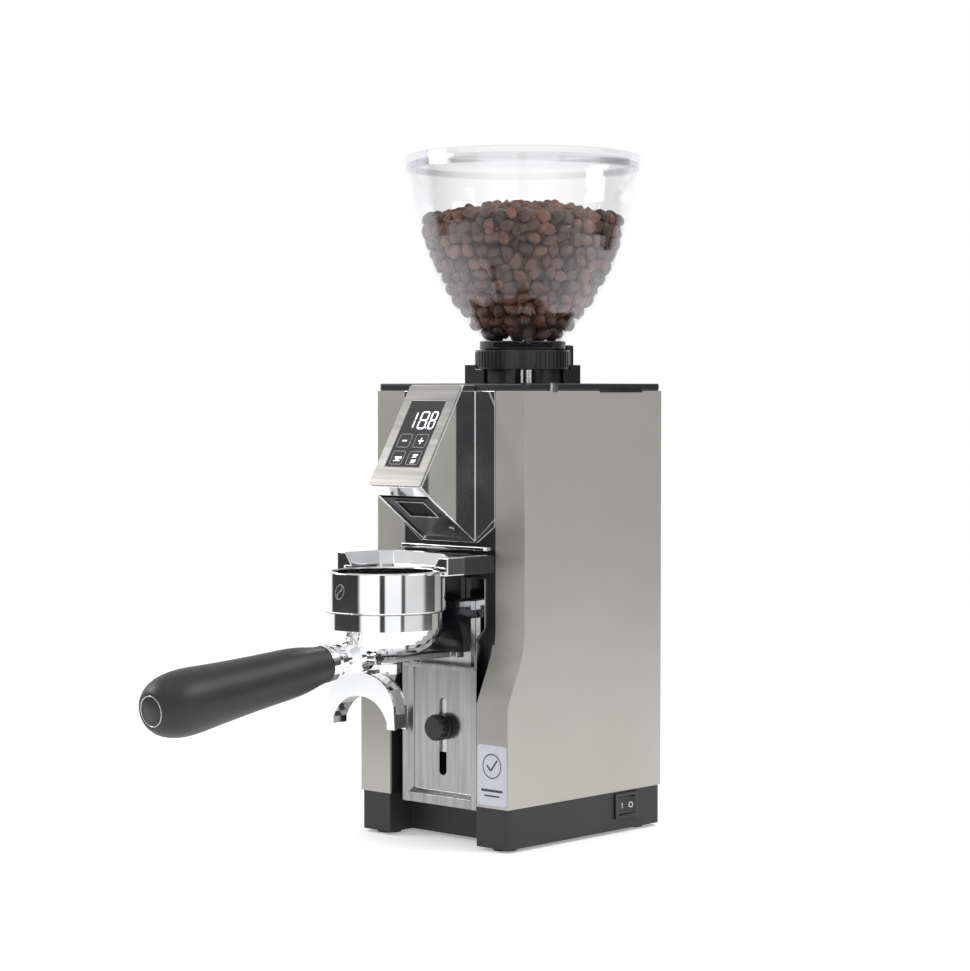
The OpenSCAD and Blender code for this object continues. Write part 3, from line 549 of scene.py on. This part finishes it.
def heapCore():
    # dark body of the heap behind the outer beans
    core = twin(nodes["coffee_beans"])
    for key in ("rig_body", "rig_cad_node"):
        if key in core:
            del core[key]
    core.parent = None
    core.name = "bean_core"
    makeActive(core)
    bpy.ops.object.mode_set(mode="EDIT")
    bpy.ops.mesh.select_all(action="SELECT")
    bpy.ops.mesh.remove_doubles(threshold=0.000002)
    bpy.ops.mesh.normals_make_consistent(inside=False)
    bpy.ops.transform.shrink_fatten(value=-0.0075)
    bpy.ops.object.mode_set(mode="OBJECT")
    finishPiece(core, "hopper", finishes["beans"], 60)
    return core


fillHopper(beanFacts)


# flat marks, built lying down and then laid on their surface

def flatBar(size, place=(0, 0), turn=0.0, corner=0.0, segments=1):
    # a plate that lies in the XY plane, in millimetres, with its upright edges cut or rounded
    bpy.ops.mesh.primitive_cube_add(size=1)
    bar = bpy.context.object
    bar.scale = (size[0] * mm, size[1] * mm, size[2] * mm)
    applyPlace(bar)
    if corner:
        pickEdges(bar, lambda a, b: abs(a.z - b.z) > size[2] * mm * 0.5)
        bpy.ops.mesh.bevel(offset=corner * mm, segments=segments)
        bpy.ops.object.mode_set(mode="OBJECT")
    bar.location = (place[0] * mm, place[1] * mm, 0)
    bar.rotation_euler = (0, 0, turn)
    applyPlace(bar)
    return bar


def flatFrame(size, place, corner, line):
    # a rounded rectangle with an open middle
    frameBar = flatBar(size, (0, 0), 0, corner, 5)
    pickFaces(frameBar, lambda centre, normal: abs(normal.z) > 0.9)
    bpy.ops.mesh.inset(thickness=line * mm)
    bpy.ops.mesh.bridge_edge_loops()
    bpy.ops.object.mode_set(mode="OBJECT")
    frameBar.location = (place[0] * mm, place[1] * mm, 0)
    applyPlace(frameBar)
    return frameBar


def flatRing(radius, line, thick, place, squeeze=1.0, turn=0.0):
    bpy.ops.mesh.primitive_torus_add(major_radius=radius * mm, minor_radius=line * mm / 2,
                                     major_segments=28, minor_segments=6)
    ring = bpy.context.object
    ring.scale = (squeeze, 1, thick / line)
    ring.location = (place[0] * mm, place[1] * mm, 0)
    ring.rotation_euler = (0, 0, turn)
    applyPlace(ring)
    return ring


def flatCup(width, thick, place):
    # a cup seen from the side, with its ear and saucer
    x, y = place
    bpy.ops.mesh.primitive_cylinder_add(vertices=24, radius=width * mm / 2, depth=thick * mm)
    bowl = bpy.context.object
    bpy.ops.object.mode_set(mode="EDIT")
    bpy.ops.mesh.select_all(action="SELECT")
    bpy.ops.mesh.bisect(plane_co=(0, 0, 0), plane_no=(0, 1, 0), use_fill=True, clear_outer=True)
    bpy.ops.object.mode_set(mode="OBJECT")
    bowl.location = (x * mm, (y + width * 0.2) * mm, 0)
    applyPlace(bowl)
    ear = flatRing(width * 0.17, width * 0.1, thick, (x + width * 0.55, y + width * 0.03))
    saucer = flatBar((width * 1.15, width * 0.12, thick), (x, y - width * 0.42))
    return [bowl, ear, saucer]


def layOn(piece, place, rotation):
    piece.rotation_euler = rotation
    piece.location = place
    applyPlace(piece)


def markFinish(name, colour, glow, roughness=0.4):
    material, tree, shader = newMaterial(name, colour, 0.0, roughness)
    speckle = noiseOf(tree, 700, 2)
    colourBetween(tree, shader, speckle, tuple(part * 0.9 for part in colour), colour)
    rangeTo(tree, shader.inputs["Roughness"], speckle, roughness * 0.8, roughness * 1.2)
    shader.inputs["Emission Color"].default_value = (*colour, 1)
    shader.inputs["Emission Strength"].default_value = glow
    return material


# touch display

displayFacts = {  # millimetres on the glass, from its middle, up the slope
    "tilt": 31.06,  # degrees the face leans back
    "thick": 0.06,
    "digits": [("1", -8.0, 6.2), ("8", 2.05, 5.9), ("8", 9.9, 4.3)],  # digit, place across, width
    "digitHeight": 11.4,
    "digitMiddle": 9.6,
    "stroke": 1.15,
    "dot": (6.4, 4.2),
    "keySize": (10.3, 9.4),
    "keyAcross": (-6.7, 6.9),
    "keyUp": (-4.8, -16.6),
}
segmentsOf = {"1": "bc", "8": "abcdefg"}


def digitBars(digit, across, width, facts):
    tall, stroke, thick = facts["digitHeight"], facts["stroke"], facts["thick"]
    middle = facts["digitMiddle"]
    places = {
        "a": (across, middle + tall / 2, 0), "g": (across, middle, 0), "d": (across, middle - tall / 2, 0),
        "b": (across + width / 2, middle + tall / 4, 1), "c": (across + width / 2, middle - tall / 4, 1),
        "f": (across - width / 2, middle + tall / 4, 1), "e": (across - width / 2, middle - tall / 4, 1),
    }
    bars = []
    for letter in segmentsOf[digit]:
        x, y, upright = places[letter]
        length = (tall / 2 if upright else width) - stroke * 0.35
        turn = math.pi / 2 if upright else 0
        bars.append(flatBar((length, stroke, thick), (x, y), turn, stroke * 0.46))
    return bars


def makeDisplayMarks(facts):
    tilt = math.radians(facts["tilt"])
    outward = Vector((0, -math.cos(tilt), math.sin(tilt)))
    upSlope = Vector((0, math.sin(tilt), math.cos(tilt)))
    corners = [vertex.co for vertex in nodes["display_glass"].data.vertices]
    front = max(corner.dot(outward) for corner in corners)
    ends = [corner.dot(upSlope) for corner in corners]
    middle = outward * (front + facts["thick"] * mm / 2) + upSlope * (max(ends) + min(ends)) / 2
    rotation = (math.pi / 2 - tilt, 0, 0)
    thick = facts["thick"]
    bright = []
    for digit, across, width in facts["digits"]:
        bright += digitBars(digit, across, width, facts)
    bright.append(flatBar((0.9, 0.9, thick), facts["dot"], 0, 0.2))
    left, right = facts["keyAcross"]
    upper, lower = facts["keyUp"]
    bright.append(flatBar((3.8, 0.95, thick), (left, upper)))
    bright.append(flatBar((4.2, 0.95, thick), (right, upper)))
    bright.append(flatBar((4.2, 0.95, thick), (right, upper), math.pi / 2))
    bright += flatCup(4.6, thick, (left, lower - 0.2))
    bright += flatCup(3.4, thick, (right, lower + 1.9))
    bright += flatCup(3.4, thick, (right, lower - 1.9))
    marks = joinPieces("display_digits", bright)
    layOn(marks, middle, rotation)
    finishPiece(marks, "housing", markFinish("litMark", (0.93, 0.95, 1.0), 0.75))
    places = [(x, y) for x in facts["keyAcross"] for y in facts["keyUp"]]
    keys = [flatFrame((*facts["keySize"], thick), place, 1.5, 0.3) for place in places]
    outlines = joinPieces("display_keys", keys)
    layOn(outlines, middle, rotation)
    finishPiece(outlines, "housing", markFinish("keyOutline", (0.4, 0.4, 0.42), 0.12))
    print("display marks laid")


makeDisplayMarks(displayFacts)


# label on the right leg

labelFacts = {
    "size": (23.6, 36.0, 0.14),  # millimetres
    "middle": 45.9,  # height of its middle
    "corner": 2.2,
}


def makeLabel(facts):
    low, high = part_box("right_panel")
    across = low.x + 12.7 * mm
    place = (across, low.y - facts["size"][2] * mm / 2, facts["middle"] * mm)
    upright = (math.pi / 2, 0, 0)
    sheet = flatBar(facts["size"], (0, 0), 0, facts["corner"], 6)
    sheet.name = "leg_label"
    layOn(sheet, place, upright)
    finishPiece(sheet, "housing", markFinish("labelFoil", (0.6, 0.61, 0.7), 0.0, 0.35))
    thick = 0.06
    ink = [flatRing(7.2, 0.75, thick, (0, 5.5)), flatBar((4.2, 1.1, thick), (-2.6, 4.4), -0.8),
           flatBar((8.4, 1.1, thick), (1.7, 6.0), 0.9), flatBar((17.5, 1.5, thick), (0, -9.2), 0, 0.7, 3),
           flatBar((12.5, 1.0, thick), (0, -12.4), 0, 0.45, 3)]
    drawing = joinPieces("label_mark", ink)
    layOn(drawing, (across, low.y - (facts["size"][2] + thick / 2) * mm, facts["middle"] * mm), upright)
    finishPiece(drawing, "housing", markFinish("labelInk", (0.035, 0.035, 0.05), 0.0))


makeLabel(labelFacts)


# marks on the power rocker

def surfaceFrom(node, start, direction):
    hit, place, normal, face = formed[node].ray_cast(Vector(start), Vector(direction))
    return place, normal


def makeRockerMarks():
    low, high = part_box("power_rocker")
    middle = (low + high) / 2
    marks = []
    for shift, ring in ((-3.6, False), (3.6, True)):
        start = (high.x + 0.02, middle.y + shift * mm, middle.z)
        place, normal = surfaceFrom("power_rocker", start, (-1, 0, 0))
        mark = flatRing(1.5, 0.5, 0.1, (0, 0)) if ring else flatBar((0.55, 3.2, 0.1))
        layOn(mark, place, (math.pi / 2, 0, math.pi / 2 + math.atan2(normal.y, normal.x)))
        marks.append(mark)
    paint = markFinish("rockerPaint", (0.8, 0.8, 0.8), 0)
    finishPiece(joinPieces("rocker_marks", marks), "rocker", paint)


makeRockerMarks()


# bean mark on the front of the dosing ring

def makeRingMark():
    low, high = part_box("dosing_ring")
    middle = (low + high) / 2
    parts = [flatRing(4.6, 0.55, 0.1, (0, 0), 0.72, -0.5)]
    for step in range(9):
        share = step / 8 * 2 - 1
        sway = 0.9 * math.sin(share * math.pi)
        turn = -0.25 - 0.55 * math.cos(share * math.pi)
        parts.append(flatBar((0.55, 1.35, 0.1), (sway + share * 2.0, share * 3.7), turn, 0.2))
    mark = joinPieces("ring_mark", parts)
    layOn(mark, (middle.x, low.y - 0.0006, middle.z + 0.001), (math.pi / 2, 0, 0))
    wrap = mark.modifiers.new("wrap", "SHRINKWRAP")
    wrap.target = formed["dosing_ring"]
    wrap.wrap_method = "PROJECT"
    wrap.use_project_y = True
    wrap.use_positive_direction = True
    wrap.offset = 0.00005
    applyModifiers(mark)
    finishPiece(mark, "portafilter", markFinish("etchedMark", (0.5, 0.5, 0.52), 0.0, 0.55), 60)


makeRingMark()


# grip's end: a groove round the end cap and its bright ring

gripFacts = {"slope": 7.0, "groove": 0.9, "depth": 0.5, "ring": 0.32}  # degrees, then millimetres


def finishGrip(facts):
    grip = softenNode("portafilter_handle", 0.6)
    slope = math.radians(facts["slope"])
    away = Vector((0, -math.cos(slope), -math.sin(slope)))
    tip = max(vertex.co.dot(away) for vertex in grip.data.vertices)
    endPoints = [vertex.co for vertex in grip.data.vertices if vertex.co.dot(away) > tip - 0.00005]
    middle = sum(endPoints, Vector()) / len(endPoints)
    radius = max((point - middle).length for point in endPoints)
    pickFaces(grip, lambda centre, normal: normal.dot(away) > 0.999 and (centre - middle).length < radius)
    bpy.ops.mesh.inset(thickness=0.0003)
    bpy.ops.mesh.inset(thickness=facts["groove"] * mm, depth=-facts["depth"] * mm)
    bpy.ops.mesh.inset(thickness=0.0005, depth=facts["depth"] * mm * 0.6)
    bpy.ops.object.mode_set(mode="OBJECT")
    bpy.ops.mesh.primitive_torus_add(major_radius=radius - 0.0008, minor_radius=facts["ring"] * mm,
                                     major_segments=64, minor_segments=8)
    ring = bpy.context.object
    ring.name = "grip_end_ring"
    layOn(ring, middle - away * facts["ring"] * mm, (math.pi / 2 + slope, 0, 0))
    finishPiece(ring, "portafilter", finishes["screw_steel"], 60)
    makeActive(grip)
    bpy.ops.object.shade_smooth_by_angle(angle=math.radians(34))
    print("grip finished, end radius", round(radius, 4))


finishGrip(gripFacts)


# small hardware on the cover and under the head

def makeCoverFittings():
    low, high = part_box("top_cover")
    tab = flatBar((0.5, 41, 1.5), (0, 0), 0, 0.2, 2)
    tab.name = "cover_tab"
    layOn(tab, (high.x + 0.0002, 0.0325, low.z - 0.0002), (0, 0, 0))
    finishPiece(tab, "housing", finishes["cover_plastic"])
    clip = flatBar((0.6, 6.5, 5.2), (0, 0), 0, 0.25, 2)
    pickFaces(clip, lambda centre, normal: normal.z > 0.9)
    bpy.ops.mesh.inset(thickness=0.00012)
    bpy.ops.mesh.extrude_region_move(TRANSFORM_OT_translate={"value": (-0.002, 0, 0.0006)})
    bpy.ops.object.mode_set(mode="OBJECT")
    clip.name = "cover_clip"
    layOn(clip, (high.x + 0.0003, -0.031, high.z - 0.0026), (0, 0, 0))
    finishPiece(clip, "housing", finishes["screw_steel"])


def makeHeadScrews():
    # the pan head that holds the floor of the head
    low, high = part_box("head_floor")
    start = (0.013, high.y - 0.010, low.z - 0.02)
    place, normal = surfaceFrom("head_floor", start, (0, 0, 1))
    bpy.ops.mesh.primitive_cylinder_add(vertices=24, radius=0.0019, depth=0.0012)
    head = bpy.context.object
    pickFaces(head, lambda centre, normal: normal.z > 0.9)
    bpy.ops.mesh.bevel(offset=0.0005, segments=3)
    bpy.ops.object.mode_set(mode="OBJECT")
    turn = normal.to_track_quat("Z", "Y").to_euler()
    layOn(head, place + normal * 0.0005, turn)
    finishPiece(joinPieces("head_floor_screws", [head]), "housing", finishes["screw_steel"])


makeCoverFittings()
makeHeadScrews()
print("details done")


# floor, lights and surroundings

studioFacts = {
    "background": 1.0,
    "horizon": [  # bearing in degrees from +X, brightness there
        (-180, 1.15), (-160, 1.1), (-155, 0.05), (-95, 0.04), (-88, 1.25), (-55, 1.25), (-52, 0.05), (-45, 0.05),
        (-42, 1.1), (-14, 1.1), (-12, 0.1), (-7, 0.1), (-4, 0.8), (30, 0.75), (40, 0.1), (76, 0.06),
        (84, 1.0), (180, 1.15),
    ],
    "overhead": 0.75,
}


def makeStage():
    bpy.ops.mesh.primitive_circle_add(vertices=96, radius=1.35, fill_type="NGON", location=(0, -0.05, 0))
    floor = bpy.context.object
    floor.name = "floor"
    material, tree, shader = newMaterial("floorPaper", (0.9, 0.9, 0.9), 0.0, 0.8, 0.2)
    paper = noiseOf(tree, 3, 4)
    colourBetween(tree, shader, paper, (0.895, 0.895, 0.895), (0.905, 0.905, 0.905))
    shader.inputs["Emission Color"].default_value = (1, 1, 1, 1)
    shader.inputs["Emission Strength"].default_value = 0.32
    floor.data.materials.append(material)


def areaLight(name, place, target, size, power, colour=(1, 1, 1)):
    bpy.ops.object.light_add(type="AREA", location=place)
    light = bpy.context.object
    light.name = name
    light.data.shape = "RECTANGLE"
    light.data.size = size[0]
    light.data.size_y = size[1]
    light.data.energy = power
    light.data.color = colour
    light.visible_camera = False
    light.rotation_euler = (Vector(target) - Vector(place)).to_track_quat("-Z", "Y").to_euler()
    return light


def makeWorld(facts):
    # soft boxes and dark cloths round the horizon, even light from above, and plain white behind the object
    world = bpy.data.worlds.new("studio")
    bpy.context.scene.world = world
    world.use_nodes = True
    tree = world.node_tree
    make = tree.nodes.new
    link = tree.links.new
    surroundings = tree.nodes["Background"]
    place = make("ShaderNodeTexCoord")
    parts = make("ShaderNodeSeparateXYZ")
    link(place.outputs["Generated"], parts.inputs["Vector"])
    bearing = make("ShaderNodeMath")
    bearing.operation = "ARCTAN2"
    link(parts.outputs["Y"], bearing.inputs[0])
    link(parts.outputs["X"], bearing.inputs[1])
    share = make("ShaderNodeMapRange")
    share.inputs["From Min"].default_value = -math.pi
    share.inputs["From Max"].default_value = math.pi
    link(bearing.outputs["Value"], share.inputs["Value"])
    boxes = make("ShaderNodeValToRGB")
    while len(boxes.color_ramp.elements) > 1:
        boxes.color_ramp.elements.remove(boxes.color_ramp.elements[0])
    for place, (degrees, level) in enumerate(facts["horizon"]):
        spot = (degrees + 180) / 360
        stop = boxes.color_ramp.elements[0] if place == 0 else boxes.color_ramp.elements.new(spot)
        stop.position = spot
        stop.color = (level, level, level, 1)
    link(share.outputs["Result"], boxes.inputs["Fac"])
    height = make("ShaderNodeMapRange")
    height.inputs["From Min"].default_value = 0.18
    height.inputs["From Max"].default_value = 0.6
    link(parts.outputs["Z"], height.inputs["Value"])
    mixed = make("ShaderNodeMix")
    mixed.data_type = "RGBA"
    link(height.outputs["Result"], mixed.inputs["Factor"])
    link(boxes.outputs["Color"], mixed.inputs["A"])
    mixed.inputs["B"].default_value = (facts["overhead"], facts["overhead"], facts["overhead"], 1)
    link(mixed.outputs["Result"], surroundings.inputs["Color"])
    white = make("ShaderNodeBackground")
    white.inputs["Color"].default_value = (1, 1, 1, 1)
    white.inputs["Strength"].default_value = facts["background"]
    seen = make("ShaderNodeLightPath")
    choice = make("ShaderNodeMixShader")
    link(seen.outputs["Is Camera Ray"], choice.inputs["Fac"])
    link(surroundings.outputs["Background"], choice.inputs[1])
    link(white.outputs["Background"], choice.inputs[2])
    link(choice.outputs["Shader"], tree.nodes["World Output"].inputs["Surface"])


makeStage()
makeWorld(studioFacts)
areaLight("keyLight", (0.6, 0.25, 0.8), (0.06, 0, 0.27), (0.4, 0.4), 3.4)
areaLight("slopeLight", (-0.49, -0.48, 0.53), (0.05, -0.06, 0.1), (0.3, 0.16), 1.6)
areaLight("topLight", (0.1, -0.5, 1.5), (0, 0, 0.3), (0.5, 0.5), 1.2)
bpy.context.scene.view_settings.view_transform = "Standard"
print("stage ready")
